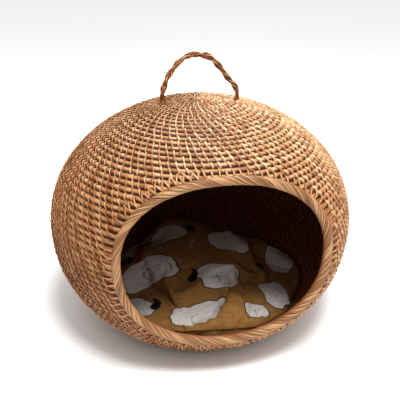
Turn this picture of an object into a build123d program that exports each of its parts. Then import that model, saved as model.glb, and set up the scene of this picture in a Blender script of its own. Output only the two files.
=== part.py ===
"""Coiled wicker pet bed: a round basket with a side mouth, a twisted rope handle and a loose tufted cushion.

Frame: millimetres, basket axis on Z, floor at Z = 0, mouth towards -Y. The coil is one continuous cane in
the real basket. Here each stretch of it is a turned solid whose ribs are the single rows, and the
stretches stand face to face. Lashings, rim, pegs, handle and cushion are separate pieces.
"""

import math
import os

from build123d import *

os.makedirs("parts", exist_ok=True)

# Basket envelope, over the lashings
BODY_R = 225.0
BODY_H = 337.0
WIDEST_Z = 157.0
BASE_R = 135.5
LOWER_POWER = 2.12
UPPER_POWER = 2.03

# Weave
STRIP_T = 1.4
STRIP_W = 3.0
ROW_HALF = 3.9
GROOVE = 1.6
RIB_SHOULDER = 0.22  # share of a row taken by each sloping side of its rib
WORN_FLAT = 0.35
HEEL_BLEND = 24.0
ROW_PITCH = 8.5
SWIRL_DEG = 16.0
FIT_GAP = 0.15
STRIP_GAP = 0.3

# Stretches of coil: name, first row, last row, lashings per turn (0 for none)
STRETCHES = [
    ("crown_coil", 1, 7, 29),
    ("dome_coil", 7, 14, 57),
    ("shoulder_coil", 14, 21, 88),
    ("upper_wall_coil", 21, 28, 114),
    ("middle_wall_coil", 28, 35, 114),
    ("belly_coil", 35, 42, 114),
    ("lower_wall_coil", 42, 49, 114),
    ("heel_coil", 49, 56, 114),
    ("base_coil", 56, 72, 0),
]

# Mouth: seen from the front a wide oval, flatter above and fuller below, with the rim along its edge
MOUTH_Z = 172.0
MOUTH_HALF_W = 140.0
MOUTH_RISE = 102.5
MOUTH_DROP = 116.0
FULL_ABOVE = 2.12
FULL_BELOW = 2.4
RIM_R = 7.0
RIM_CORE_R = 4.2
RIM_POINTS = 36
PEG_PITCH = 8.8
PEG_L = 12.0
PEG_W = 3.0

# Handle: heights of ARCH are above the pivot
FOOT_X = 54.0
PIVOT_Z = 338.0
ROPE_R = 3.9
WHIP_L = 7.0
WHIP_R = 4.2
TAIL_R = 4.0
KNOT_R = 8.0
ARCH = [(-54, 7.1), (-54, 12.5), (-48, 27), (-41.5, 37.5), (-32, 49.5), (-21.5, 57.5), (-9, 60.6), (4, 59.6),
        (15, 55.5), (25, 46), (34, 35), (42, 24.5), (50, 16), (54, 11), (54, 7.1)]

# Cushion
CUSHION_R = 171.0
CUSHION_TOP = 88.0
SEAM_Z = 52.0
CUSHION_GAP = 1.2
CLOTH = 1.2
TUFTS = [(-50, -58), (70, -30), (42, 88), (-78, 60)]
TUFT_BOWL = 36.0
TUFT_DEEP = 28.0
UNDER_DEEP = 7.0
TIE_R = 1.2

UPRIGHT = (Align.CENTER, Align.CENTER, Align.MIN)


def save(name, shape):
    """Write one node; a list becomes a compound of separate pieces."""
    if isinstance(shape, list):
        shape = Compound(children=shape)
    export_step(shape, f"parts/{name}.step")


# ---------------------------------------------------------------- body meridian
def outer_radius(z):
    """Radius of the basket envelope at height z."""
    if z >= WIDEST_Z:
        rise = (z - WIDEST_Z) / (BODY_H - WIDEST_Z)
        return BODY_R * max(0.0, 1 - rise**UPPER_POWER) ** (1 / UPPER_POWER)
    reach = WIDEST_Z / (1 - (BASE_R / BODY_R) ** LOWER_POWER) ** (1 / LOWER_POWER)
    return BODY_R * (1 - ((WIDEST_Z - z) / reach) ** LOWER_POWER) ** (1 / LOWER_POWER)


def running_length(points):
    total = [0.0]
    for (r0, z0), (r1, z1) in zip(points, points[1:]):
        total.append(total[-1] + math.hypot(r1 - r0, z1 - z0))
    return total


def point_along(points, total, s):
    """Point at length s of a polyline."""
    s = min(max(s, 0.0), total[-1])
    low, high = 0, len(total) - 1
    while high - low > 1:
        mid = (low + high) // 2
        if total[mid] <= s:
            low = mid
        else:
            high = mid
    t = (s - total[low]) / max(total[high] - total[low], 1e-9)
    (r0, z0), (r1, z1) = points[low], points[high]
    return (r0 + t * (r1 - r0), z0 + t * (z1 - z0))


def core_path():
    """Meridian through the middle of the rows, from the crown down the wall and in to the base centre."""
    skin = []
    for k in range(241):
        a = math.pi / 2 * (1 - k / 240)
        rise = math.sin(a) ** (2 / UPPER_POWER)
        reach = BODY_R * max(math.cos(a), 0) ** (2 / UPPER_POWER)
        skin.append((reach, WIDEST_Z + (BODY_H - WIDEST_Z) * rise))
    for k in range(1, 161):
        z = WIDEST_Z * (1 - k / 160)
        skin.append((outer_radius(z), z))
    for k in range(1, 121):
        skin.append((BASE_R * (1 - k / 120), -STRIP_T - WORN_FLAT))
    inset = STRIP_T + ROW_HALF
    inner = []
    for k, (r, z) in enumerate(skin):
        r0, z0 = skin[max(k - 1, 0)]
        r1, z1 = skin[min(k + 1, len(skin) - 1)]
        n = math.hypot(r1 - r0, z1 - z0)
        inner.append((max(r + inset * (z1 - z0) / n, 0.0), z - inset * (r1 - r0) / n))
    inner[0] = (0.0, BODY_H - inset)
    inner[-1] = (0.0, inner[-2][1])
    total = running_length(inner)
    smooth = []
    steps = int(total[-1])
    for k in range(steps + 1):
        s = total[-1] * k / steps
        reach = HEEL_BLEND / 2 if s > BODY_H else 0.0
        reach = min(reach, total[-1] - s)
        near = [point_along(inner, total, s + reach * (j / 6 - 1)) for j in range(13)]
        smooth.append((sum(p[0] for p in near) / 13, sum(p[1] for p in near) / 13))
    return smooth


PATH = core_path()
PATH_S = running_length(PATH)
ROWS = round(PATH_S[-1] / ROW_PITCH)
PITCH = PATH_S[-1] / ROWS


def downhill(s):
    """Unit direction of the meridian at length s, from crown to base."""
    r0, z0 = point_along(PATH, PATH_S, s - 1.5)
    r1, z1 = point_along(PATH, PATH_S, s + 1.5)
    n = math.hypot(r1 - r0, z1 - z0)
    return ((r1 - r0) / n, (z1 - z0) / n)


def wall_point(s, lift=0.0):
    """Point on the core meridian at length s, moved outwards by lift."""
    r, z = point_along(PATH, PATH_S, s)
    dr, dz = downhill(s)
    return (r - lift * dz, z + lift * dr)


def nearest_s(r, z):
    """Length along the meridian nearest to a point."""
    best = min(range(len(PATH)), key=lambda k: (PATH[k][0] - r) ** 2 + (PATH[k][1] - z) ** 2)
    return PATH_S[best]


# ---------------------------------------------------------------- mouth
MOUTH_MIDDLE = Vector(0, -190, MOUTH_Z)
WEDGE_TIP = Vector(0, 0, 150)


def core_radius(z):
    """Radius of the core meridian at height z on the wall."""
    low = min(k for k in range(len(PATH)) if PATH[k][1] < z)
    (r0, z0), (r1, z1) = PATH[low - 1], PATH[low]
    return r0 + (r1 - r0) * (z - z0) / (z1 - z0)


def rim_points():
    """Points of the mouth's outline, on the middle of the wall."""
    points = []
    for k in range(RIM_POINTS):
        a = 2 * math.pi * k / RIM_POINTS
        c, n = math.cos(a), math.sin(a)
        power = 2 / (FULL_ABOVE if n >= 0 else FULL_BELOW)
        x = MOUTH_HALF_W * math.copysign(abs(c) ** power, c)
        z = MOUTH_Z + (MOUTH_RISE if n >= 0 else MOUTH_DROP) * math.copysign(abs(n) ** power, n)
        points.append(Vector(x, -math.sqrt(core_radius(z) ** 2 - x**2), z))
    return points


OUTLINE = rim_points()


def wall_normal(p):
    """Outward direction of the wall at a point near it."""
    r = math.hypot(p.X, p.Y)
    dr, dz = downhill(nearest_s(r, p.Z))
    return Vector(-dz * p.X / r, -dz * p.Y / r, dr).normalized()


def away_from_mouth(p, ahead):
    """Direction across the rim, along the wall and out of the mouth."""
    away = ahead.cross(wall_normal(p)).normalized()
    return away if away.dot(p - MOUTH_MIDDLE) > 0 else away * -1


def mouth_wedge(reach):
    """Pyramid out through the mouth, its sides square to the wall at a distance outside the rim's middle."""
    near, far = [], []
    for k, p in enumerate(OUTLINE):
        ahead = OUTLINE[(k + 1) % RIM_POINTS] - OUTLINE[k - 1]
        ray = p + away_from_mouth(p, ahead) * reach - WEDGE_TIP
        near.append(WEDGE_TIP + ray * (60 / -ray.Y))
        far.append(WEDGE_TIP + ray * (300 / -ray.Y))
    faces = [Face(Wire.make_polygon(near)), Face(Wire.make_polygon(far))]
    for k in range(RIM_POINTS):
        faces.append(Face(Wire.make_polygon([near[k - 1], far[k - 1], far[k], near[k]])))
    return Solid(Shell(faces))


def mouth_gap(p):
    """Distance of a point outside the rim's middle line, below 0 within the mouth."""
    nearest, inside = 1e9, False
    for k in range(RIM_POINTS):
        a, b = OUTLINE[k - 1], OUTLINE[k]
        run = b - a
        t = min(max((p - a).dot(run) / run.dot(run), 0), 1)
        nearest = min(nearest, (p - a - run * t).length)
        if (a.Z > p.Z) != (b.Z > p.Z) and p.X < a.X + (p.Z - a.Z) / (b.Z - a.Z) * (b.X - a.X):
            inside = not inside
    return -nearest if inside and p.Y < 0 else nearest


def smooth_route(points, closed):
    """Straight runs joined by tangent arcs as large as the runs allow."""
    count = len(points)
    radii = []
    corners = range(count) if closed else range(1, count - 1)
    for k in corners:
        back = points[k] - points[k - 1]
        ahead = points[(k + 1) % count] - points[k]
        half_turn = math.radians(back.get_angle(ahead)) / 2
        radii.append(0.45 * min(back.length, ahead.length) / math.tan(half_turn))
    return FilletPolyline(*points, radius=radii, close=closed)


RIM = smooth_route(OUTLINE, True)


def rim_pipe(radius):
    start = Plane(origin=RIM @ 0, z_dir=RIM % 0)
    return sweep(start * Circle(radius), path=RIM)


# ---------------------------------------------------------------- coil
WALL_CUT = mouth_wedge(RIM_R + 0.35)
STRIP_END = RIM_R + PEG_L + 2.5
STRIP_CUT = mouth_wedge(STRIP_END)
FLOOR_CUT = Box(700, 700, 40, align=(Align.CENTER, Align.CENTER, Align.MAX))
FEET = [-FOOT_X, FOOT_X]
TAIL_HOLES = [Pos(x, 0, PIVOT_Z) * Cylinder(TAIL_R + 0.15, 80) for x in FEET]
TAIL_NOTCHES = [Pos(x, 0, PIVOT_Z) * Cylinder(WHIP_R + 0.6, 80) for x in FEET]


def stretch(first, last):
    """Rows first to last - 1 of the coil, each a rib outside and in."""
    shallow = ROW_HALF - GROOVE
    lines = []
    for side in (1, -1):
        for k in range(first, last):
            stops = [
                wall_point(k * PITCH, side * shallow),
                wall_point((k + RIB_SHOULDER) * PITCH, side * ROW_HALF),
                wall_point((k + 1 - RIB_SHOULDER) * PITCH, side * ROW_HALF),
                wall_point((k + 1) * PITCH, side * shallow),
            ]
            lines += [Plane.XZ * Line(a, b) for a, b in zip(stops, stops[1:])]
    for k in (first, last):
        lines.append(Plane.XZ * Line(wall_point(k * PITCH, shallow), wall_point(k * PITCH, -shallow)))
    return revolve(make_face(lines), Axis.Z, 360)


def centre_button(z_mid):
    """Centre of a coil: a low round plug as thick as the rows."""
    plug = Cylinder(PITCH - FIT_GAP, 2 * (ROW_HALF - GROOVE))
    boss = Cylinder(PITCH * 0.6, 2 * ROW_HALF)
    return Pos(0, 0, z_mid) * (plug + boss)


def lashings(first, last, count, phase):
    """Strips across one stretch, swirling, cut clear of the mouth and of the handle's feet."""
    s_mid = (first + last) / 2 * PITCH
    half = (last - first) * PITCH / math.cos(math.radians(SWIRL_DEG)) / 2 - 1.0
    under = [wall_point(s_mid + half * (k / 3 - 1), ROW_HALF + STRIP_GAP) for k in range(7)]
    over = [wall_point(s_mid + half * (k / 3 - 1), ROW_HALF + STRIP_T) for k in range(7)]
    edges = [
        Plane.XZ * Spline(*under),
        Plane.XZ * Spline(*over),
        Plane.XZ * Line(under[0], over[0]),
        Plane.XZ * Line(under[-1], over[-1]),
    ]
    r_mid, z_mid = wall_point(s_mid, ROW_HALF)
    dr, dz = downhill(s_mid)
    turn = math.degrees(STRIP_W / r_mid)
    strip = revolve(make_face(edges), Axis.Z, turn).rotate(Axis.Z, -turn / 2)
    strip = strip.rotate(Axis((r_mid, 0, z_mid), (-dz, 0, dr)), SWIRL_DEG)
    kept = []
    for k in range(count):
        piece = strip.rotate(Axis.Z, phase + 360 * k / count)
        gaps = [mouth_gap(v.center()) for v in piece.vertices()]
        if max(gaps) <= STRIP_END + 4:
            continue
        if min(gaps) < STRIP_END + 30:
            piece = piece - STRIP_CUT
        if abs(piece.center().X) < 90 and abs(piece.center().Y) < 35 and z_mid > WIDEST_Z + 100:
            piece = piece - TAIL_NOTCHES[0] - TAIL_NOTCHES[1]
        kept.extend(x for x in piece.solids() if x.volume > 12)
    return kept


def build_coil():
    crown_z = wall_point(0.5 * PITCH)[1]
    save("crown_button", centre_button(crown_z))
    phase = 0.0
    for name, first, last, count in STRETCHES:
        body = stretch(first, last)
        s_mid = (first + last) / 2 * PITCH
        z_low = wall_point(last * PITCH)[1]
        if name in ("crown_coil", "dome_coil"):
            body = body - TAIL_HOLES[0] - TAIL_HOLES[1]
        if z_low < MOUTH_Z + 128:
            body = body - WALL_CUT
        if z_low < 10:
            body = body - FLOOR_CUT
        save(name, body.solids()[0] if len(body.solids()) == 1 else list(body.solids()))
        if count:
            r_mid = wall_point(s_mid)[0]
            phase += math.degrees(math.tan(math.radians(SWIRL_DEG)) * (last - first) * PITCH / r_mid)
            save(name.replace("coil", "lashings"), lashings(first, last, count, phase))
    base_z = wall_point(PATH_S[-1] - 0.5 * PITCH)[1]
    save("base_button", centre_button(base_z) - FLOOR_CUT)


# ---------------------------------------------------------------- rim
def build_rim():
    core = rim_pipe(RIM_CORE_R)
    save("rim_hoop", core)
    save("rim_wrapping", rim_pipe(RIM_R) - rim_pipe(RIM_CORE_R + FIT_GAP))
    pegs = []
    count = round(RIM.length / PEG_PITCH)
    for k in range(count):
        p = RIM @ (k / count)
        t = RIM % (k / count)
        q = p
        for _ in range(2):
            normal = wall_normal(q)
            away = away_from_mouth(q, t)
            q = p + away * (RIM_R + 0.6 + PEG_L / 2)
        r = math.hypot(q.X, q.Y)
        core_r, core_z = wall_point(nearest_s(r, q.Z), ROW_HALF + STRIP_GAP + 0.1)
        seat = Vector(q.X / r * core_r, q.Y / r * core_r, core_z)
        frame = Plane(origin=seat, x_dir=away, z_dir=normal)
        pegs.append(frame * Box(PEG_L, PEG_W, STRIP_T, align=UPRIGHT))
    save("rim_pegs", pegs)


# ---------------------------------------------------------------- handle
def build_handle():
    route = smooth_route([Vector(x, 0, PIVOT_Z + z) for x, z in ARCH], False)
    save("handle_rope", sweep(Plane(origin=route @ 0, z_dir=route % 0) * Circle(ROPE_R), path=route))
    for name, x in (("left", -FOOT_X), ("right", FOOT_X)):
        ball = Pos(x, 0, PIVOT_Z) * Sphere(WHIP_R)
        post = Pos(x, 0, PIVOT_Z) * Cylinder(WHIP_R, WHIP_L, align=UPRIGHT)
        save(f"handle_whipping_{name}", ball + post)
        inner_z = wall_point(nearest_s(FOOT_X + KNOT_R, PIVOT_Z - 8), -ROW_HALF)[1]
        knot_z = inner_z - 1.0 - KNOT_R * 0.6
        top = PIVOT_Z - WHIP_R - 0.2
        tail = Pos(x, 0, knot_z) * Cylinder(TAIL_R, top - knot_z, align=UPRIGHT)
        knot = Pos(x, 0, knot_z) * scale(Sphere(KNOT_R), (1, 1, 0.6))
        save(f"handle_tail_{name}", tail + knot)


# ---------------------------------------------------------------- cushion
def cushion_half(inset, top):
    """Turned upper or lower half of the cushion, inset from the cloth's outside."""
    sole = []
    s = PATH_S[-1]
    while wall_point(s, -ROW_HALF - CUSHION_GAP - inset)[0] < CUSHION_R - 6 - inset:
        sole.append(wall_point(s, -ROW_HALF - CUSHION_GAP - inset))
        s -= 12.0
    floor_z = sole[0][1]
    rise = [p for p in sole[1:] if p[1] >= floor_z + 0.05]
    over = Spline((CUSHION_R, SEAM_Z), (CUSHION_R - 10, SEAM_Z + 19), (CUSHION_R - 40, CUSHION_TOP - 5),
                  (CUSHION_R * 0.3, CUSHION_TOP), tangents=[(0, 1), (-1, 0)])
    shell = []
    for k in range(13):
        p, t = over @ (k / 12), over % (k / 12)
        shell.append((p.X - inset * t.Y, p.Y + inset * t.X))
    if top:
        outline = [(0, SEAM_Z)] + shell + [(0, shell[-1][1])]
    else:
        outline = [(0, floor_z), (rise[0][0] - 12, floor_z)] + rise + [shell[0], (0, SEAM_Z)]
    lines = [Plane.XZ * Line(a, b) for a, b in zip(outline, outline[1:] + outline[:1])]
    return revolve(make_face(lines), Axis.Z, 360), floor_z


def tufted(inset, top):
    """Upper or lower half of the cushion with the bowl that each tuft pulls into it."""
    body, floor_z = cushion_half(inset, top)
    for x, y in TUFTS:
        level = floor_z - inset + UNDER_DEEP - 1.0 - TUFT_BOWL
        if top:
            level = CUSHION_TOP + 1.5 - TUFT_DEEP + TUFT_BOWL
        body = body - Pos(x, y, level) * Sphere(TUFT_BOWL + inset)
    return body


def build_cushion():
    holes = [Pos(x, y, SEAM_Z) * Cylinder(TIE_R + 0.2, 160) for x, y in TUFTS]
    for name, top in (("top", True), ("bottom", False)):
        panel = tufted(0.0, top) - tufted(CLOTH, top)
        wad = tufted(CLOTH + 0.3, top)
        for hole in holes:
            panel = panel - hole
            wad = wad - hole
        save(f"cushion_{name}_panel", panel)
        save(f"cushion_{name}_filling", wad)
    floor_z = cushion_half(0.0, False)[1]
    low = floor_z + UNDER_DEEP - 1.0
    high = CUSHION_TOP + 1.5 - TUFT_DEEP
    ties = []
    for x, y in TUFTS:
        thread = Pos(x, y, low - 0.9) * Cylinder(TIE_R, high - low + 1.8, align=UPRIGHT)
        cap = Pos(x, y, high + 0.55) * Cylinder(3.2, 0.8)
        foot = Pos(x, y, low - 0.55) * Cylinder(3.2, 0.8)
        ties.append(thread + cap + foot)
    save("cushion_ties", ties)


build_coil()
build_rim()
build_handle()
build_cushion()
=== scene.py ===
"""Looks of the coiled wicker pet bed: cane weave, wrapped rim, twisted rope handle and tufted cushion.

Lengths are worked out in millimetres, as in the part, and turned into metres when a mesh is made.
Basket axis on Z, floor at Z = 0, mouth towards -Y. Azimuth is measured from +X, counter-clockwise from above.
"""

import math

import bpy
import numpy as np
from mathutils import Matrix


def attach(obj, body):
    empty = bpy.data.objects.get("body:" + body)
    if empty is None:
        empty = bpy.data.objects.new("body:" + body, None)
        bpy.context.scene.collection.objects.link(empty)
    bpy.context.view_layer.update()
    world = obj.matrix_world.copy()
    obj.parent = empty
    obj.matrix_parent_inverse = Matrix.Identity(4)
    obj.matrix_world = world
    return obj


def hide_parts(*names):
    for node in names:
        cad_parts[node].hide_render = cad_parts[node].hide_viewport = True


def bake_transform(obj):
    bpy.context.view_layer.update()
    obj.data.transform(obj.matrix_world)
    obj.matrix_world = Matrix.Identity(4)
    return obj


MM = 0.001
SEED = 11

# Basket envelope and coil, as in the part
BODY_R = 225.0
BODY_H = 337.0
WIDEST_Z = 157.0
BASE_R = 135.5
LOWER_POWER = 2.12
UPPER_POWER = 2.03
STRIP_T = 1.4
ROW_HALF = 3.9
WORN_FLAT = 0.35
HEEL_BLEND = 24.0
ROW_PITCH = 8.5

# Stretches of coil: CAD name and first row
STRETCHES = [
    ("crown", 0),
    ("dome", 7),
    ("shoulder", 14),
    ("upper_wall", 21),
    ("middle_wall", 28),
    ("belly", 35),
    ("lower_wall", 42),
    ("heel", 49),
    ("base", 56),
]
# Stitches per turn up to each radius
STITCHES = [(15, 13), (33, 27), (60, 40), (115, 57), (165, 88), (400, 114)]

# Cane core
CORE_OUT = 3.9
CORE_HALF = 4.3
CORE_SIDES = 14
STEPS_PER_STITCH = 4
STRAY = 0.25
BASE_TUCK = 1.9
# Heights between which the wall turns into the flat base, and a length down the meridian well above them
BASE_FADE_Z = (5.0, 14.0)
LOWER_S = 300.0

# Stitch strip over one row: share of the row, lift of its middle above the core centre
STITCH_LIFT = [
    (0.0, 0.4), (0.03, 1.9), (0.08, 3.0), (0.17, 4.0), (0.32, 4.9), (0.5, 5.2),
    (0.68, 4.9), (0.84, 4.1), (0.94, 3.0), (0.99, 1.9), (1.02, 0.4),
]
INNER_LIFT = [
    (-0.04, -0.5), (0.05, -2.6), (0.18, -4.2), (0.34, -4.8), (0.5, -4.9),
    (0.66, -4.8), (0.82, -4.2), (0.95, -2.6), (1.04, -0.5),
]
STITCH_W = 4.0
STITCH_T = 1.25
STITCH_END = 0.35
STITCH_TAPER = 0.38
STITCH_TILT = (12.0, 52.0)
# Stitches closer together than this are narrower
FULL_STITCH_STEP = 9.0
# Sideways run of a stitch over one row, as a share of the distance to the next stitch
STITCH_RUN = 0.37
INNER_RUN = -0.45

# Mouth, rim and pegs
MOUTH_Z = 172.0
MOUTH_HALF_W = 140.0
MOUTH_RISE = 102.5
MOUTH_DROP = 116.0
FULL_ABOVE = 2.12
FULL_BELOW = 2.4
RIM_R = 7.0
RIM_SLIM = (0.08, 0.1)
RIM_STRIPS = 16
RIM_TURNS = 12
RIM_SECTIONS = 26 * RIM_TURNS
RIM_STRIP_W = 2.45
RIM_STRIP_T = 2.3
RIM_SIDES = 8
PEG_PITCH = 8.8
PEG_L = 12.0
PEG_W = 2.1
PEG_T = 1.5
PEG_START = RIM_R - 3.5
# Share of a peg's length, lift of its middle above the core centre
PEG_LIFT = [(0.0, 4.6), (0.2, 5.8), (0.4, 6.2), (0.6, 6.0), (0.75, 5.6), (0.88, 4.6), (0.96, 3.0), (1.0, 1.0)]
# Shares of the way round the rim, counter-clockwise from the right as seen from the front
FORKED = (0.28, 0.41)
FORK_SPREAD = 0.42
SHORT_PEGS_AT = 0.17
SHORT_PEGS_REACH = 0.09
SHORT_PEGS = 0.3
SLIM_AT = 0.46
SLIM_REACH = 0.15
ROW_END = 3.5
LAST_STITCH = RIM_R + 8.0

# Handle: heights are above the pivot
FOOT_X = 54.0
PIVOT_Z = 338.0
ARCH = [
    (-54, 7.1), (-52.5, 15), (-48, 27), (-41.5, 37.5), (-32, 49.5), (-21.5, 57.5), (-9, 60.6),
    (4, 59.6), (15, 55.5), (25, 46), (34, 35), (42, 24.5), (50, 15.5), (54, 7.1),
]
FOOT_HEIGHTS = (-9.0, -2.0)
FOOT_L = 26.0
ROPE_SECTIONS = 260
ROPE_LAY = 40.0
STRAND_OFFSET = 1.6
STRAND_R = 2.3
FIBRES = 16
MIDDLE_FIBRES = 4
FIBRE_SPIN = -1.7

# Cushion
CUSHION_R = 170.0
CUSHION_TOP = 86.0
CUSHION_FLOOR = 9.5
SEAM_Z = 50.0
TUFTS = [(-48, -66), (76, -35), (36, 87), (-82, 66)]
TUFT_Z = 60.0
TUFT_REACH = 23.0
CUSHION_CELLS = 104
BACK_PROP = 22.0
BACK_RISE = 12.0
FRONT_GAP = 10.0
WALL_GAP = 1.5
PRESSURE = 5.0
CLOTH_FRAMES = 26
# Furthest that the cloth solver may move a point
PUFF_LIMIT = 26.0
THREAD_RING_R = 2.4
THREAD_STEPS = 20

# Camera
EYE = (-0.1615, -0.8081, 0.5420)
PITCH_DOWN = 0.41644
HEADING = math.radians(-11.3)
LENS = 52.6

# Studio dome: light at the horizon and overhead, the share added towards +X, and the backdrop in view
SKY_LOW = 0.12
SKY_HIGH = 1.3
SKY_SIDE = 0.4
BACKDROP = 0.95
FLOOR_Z = -0.7
FLOOR_HALF = 6000.0

# Colours of the materials, sRGB 0-255
CANE_SHADES = [(0.2, (112, 58, 24)), (0.42, (156, 98, 52)), (0.62, (192, 136, 86)), (0.88, (226, 180, 134))]
CANE_GRAIN = (120, 70, 38)
# Painted shade: dark brown in the grooves between the cane rows and on the downhill half of each row
GROOVE_PAINTED_SHADE = (56, 20, 6)
# Painted shade: darker brown for the cane inside the basket
INSIDE_CANE_PAINTED_SHADE = (116, 60, 34)
STITCH_SHADES = [(0.15, (144, 88, 40)), (0.5, (202, 146, 90)), (0.9, (232, 192, 144))]
RIM_SHADES = [(0.15, (120, 74, 34)), (0.5, (174, 123, 70)), (0.9, (208, 163, 110))]
# Painted shade: dark brown where a strip dips under its neighbours, at the ends of stitches and the edges of
# rim strips
STRIP_EDGE_PAINTED_SHADE = (104, 54, 24)
# Painted shade: darker brown for strips inside the basket
INSIDE_STRIP_PAINTED_SHADE = (132, 76, 46)
# Painted shade that darkens the cane lower down the sides, and painted light that pales it over the crown
LOW_PAINTED_SHADE = (229, 214, 198)
CROWN_PAINTED_LIGHT = (226, 208, 186)
ROPE_SHADES = [(0.2, (84, 42, 14)), (0.5, (136, 80, 36)), (0.75, (190, 134, 78)), (0.95, (238, 200, 150))]
OCHRE_SHADES = [(0.3, (116, 80, 40)), (0.7, (136, 96, 52))]
RAG_SHADES = [(0.3, (174, 166, 160)), (0.7, (190, 182, 176))]
RAG_OUTLINE = (34, 24, 18)
RAG_FOLD = (60, 48, 42)
LEAF = (16, 13, 12)
ARC = (160, 152, 144)

rng = np.random.default_rng(SEED)


# ---------------------------------------------------------------- meridian
def outer_radius(z):
    """Radius of the basket envelope at height z."""
    if z >= WIDEST_Z:
        rise = (z - WIDEST_Z) / (BODY_H - WIDEST_Z)
        return BODY_R * max(0.0, 1 - rise**UPPER_POWER) ** (1 / UPPER_POWER)
    reach = WIDEST_Z / (1 - (BASE_R / BODY_R) ** LOWER_POWER) ** (1 / LOWER_POWER)
    return BODY_R * (1 - ((WIDEST_Z - z) / reach) ** LOWER_POWER) ** (1 / LOWER_POWER)


def lengths(points):
    """Running length of a polyline given as an array of points."""
    steps = np.linalg.norm(np.diff(points, axis=0), axis=1)
    return np.concatenate([[0.0], np.cumsum(steps)])


def along(points, total, s):
    """Points at lengths s of a polyline."""
    return np.stack([np.interp(s, total, points[:, k]) for k in range(points.shape[1])], axis=-1)


def core_path():
    """Meridian through the middle of the rows, from the crown down the wall and in to the base centre."""
    a = np.pi / 2 * (1 - np.arange(241) / 240)
    top_r = BODY_R * np.maximum(np.cos(a), 0) ** (2 / UPPER_POWER)
    top_z = WIDEST_Z + (BODY_H - WIDEST_Z) * np.sin(a) ** (2 / UPPER_POWER)
    top = np.stack([top_r, top_z], 1)
    wall_z = WIDEST_Z * (1 - np.arange(1, 161) / 160)
    wall = np.stack([[outer_radius(z) for z in wall_z], wall_z], 1)
    base_r = BASE_R * (1 - np.arange(1, 121) / 120)
    base = np.stack([base_r, np.full(120, -STRIP_T - WORN_FLAT)], 1)
    skin = np.concatenate([top, wall, base])
    run = np.concatenate([skin[1:], skin[-1:]]) - np.concatenate([skin[:1], skin[:-1]])
    run /= np.linalg.norm(run, axis=1)[:, None]
    inset = STRIP_T + ROW_HALF
    inner = skin + inset * np.stack([run[:, 1], -run[:, 0]], 1)
    inner[:, 0] = np.maximum(inner[:, 0], 0)
    inner[0] = (0, BODY_H - inset)
    inner[-1] = (0, inner[-2, 1])
    total = lengths(inner)
    s = np.linspace(0, total[-1], int(total[-1]) + 1)
    reach = np.minimum(np.where(s > BODY_H, HEEL_BLEND / 2, 0), total[-1] - s)
    near = s[:, None] + reach[:, None] * (np.arange(13) / 6 - 1)
    return along(inner, total, near).mean(axis=1)


PATH = core_path()
PATH_S = lengths(PATH)
ROWS = round(PATH_S[-1] / ROW_PITCH)
PITCH = PATH_S[-1] / ROWS


def meridian(s):
    """Point and unit downhill direction of the core meridian at lengths s."""
    s = np.asarray(s, float)
    p = along(PATH, PATH_S, np.clip(s, 0, PATH_S[-1]))
    d = along(PATH, PATH_S, np.minimum(s + 1.5, PATH_S[-1])) - along(PATH, PATH_S, np.maximum(s - 1.5, 0))
    return p, d / np.linalg.norm(d, axis=-1)[..., None]


def frame_at(s, turn):
    """Point on the core meridian and its outward, downhill and sideways unit vectors."""
    p, d = meridian(s)
    c, n = np.cos(turn), np.sin(turn)
    point = np.stack([p[..., 0] * c, p[..., 0] * n, p[..., 1] + 0 * c], -1)
    out = np.stack([-d[..., 1] * c, -d[..., 1] * n, d[..., 0] + 0 * c], -1)
    down = np.stack([d[..., 0] * c, d[..., 0] * n, d[..., 1] + 0 * c], -1)
    side = np.stack([-n, c, 0 * c], -1)
    return point, out, down, side


def base_share(s):
    """0 on the wall, 1 on the flat underside."""
    z = along(PATH, PATH_S, s)[..., 1]
    low, high = BASE_FADE_Z
    t = np.clip((high - z) / (high - low), 0, 1) * (np.asarray(s) > LOWER_S)
    return t * t * (3 - 2 * t)


def stitches_at(r):
    """Stitches in one turn at radius r."""
    for limit, count in STITCHES:
        if r < limit:
            return count
    return STITCHES[-1][1]


def rim_route(count):
    """Points along the rim's middle, evenly spaced, counter-clockwise seen from the front."""
    a = 2 * np.pi * np.arange(1441) / 1440
    c, n = np.cos(a), np.sin(a)
    power = 2 / np.where(n >= 0, FULL_ABOVE, FULL_BELOW)
    x = MOUTH_HALF_W * np.sign(c) * np.abs(c) ** power
    z = MOUTH_Z + np.where(n >= 0, MOUTH_RISE, MOUTH_DROP) * np.sign(n) * np.abs(n) ** power
    r = np.interp(-z, -PATH[:, 1], PATH[:, 0])
    closed = np.stack([x, -np.sqrt(r * r - x * x), z], 1)
    total = lengths(closed)
    return along(closed, total, np.arange(count) * total[-1] / count), total[-1]


RIM_LINE, RIM_LENGTH = rim_route(420)


def mouth_gap(points):
    """Distance of points outside the rim's middle line, below 0 within the mouth."""
    across = np.abs(points[..., 0] / MOUTH_HALF_W)
    up = points[..., 2] - MOUTH_Z
    rise = np.abs(up / np.where(up >= 0, MOUTH_RISE, MOUTH_DROP))
    power = np.where(up >= 0, FULL_ABOVE, FULL_BELOW)
    inside = (across**power + rise**power < 1) & (points[..., 1] < 0)
    far = np.linalg.norm(points[..., None, :] - RIM_LINE, axis=-1).min(axis=-1)
    return np.where(inside, -far, far)


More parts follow.
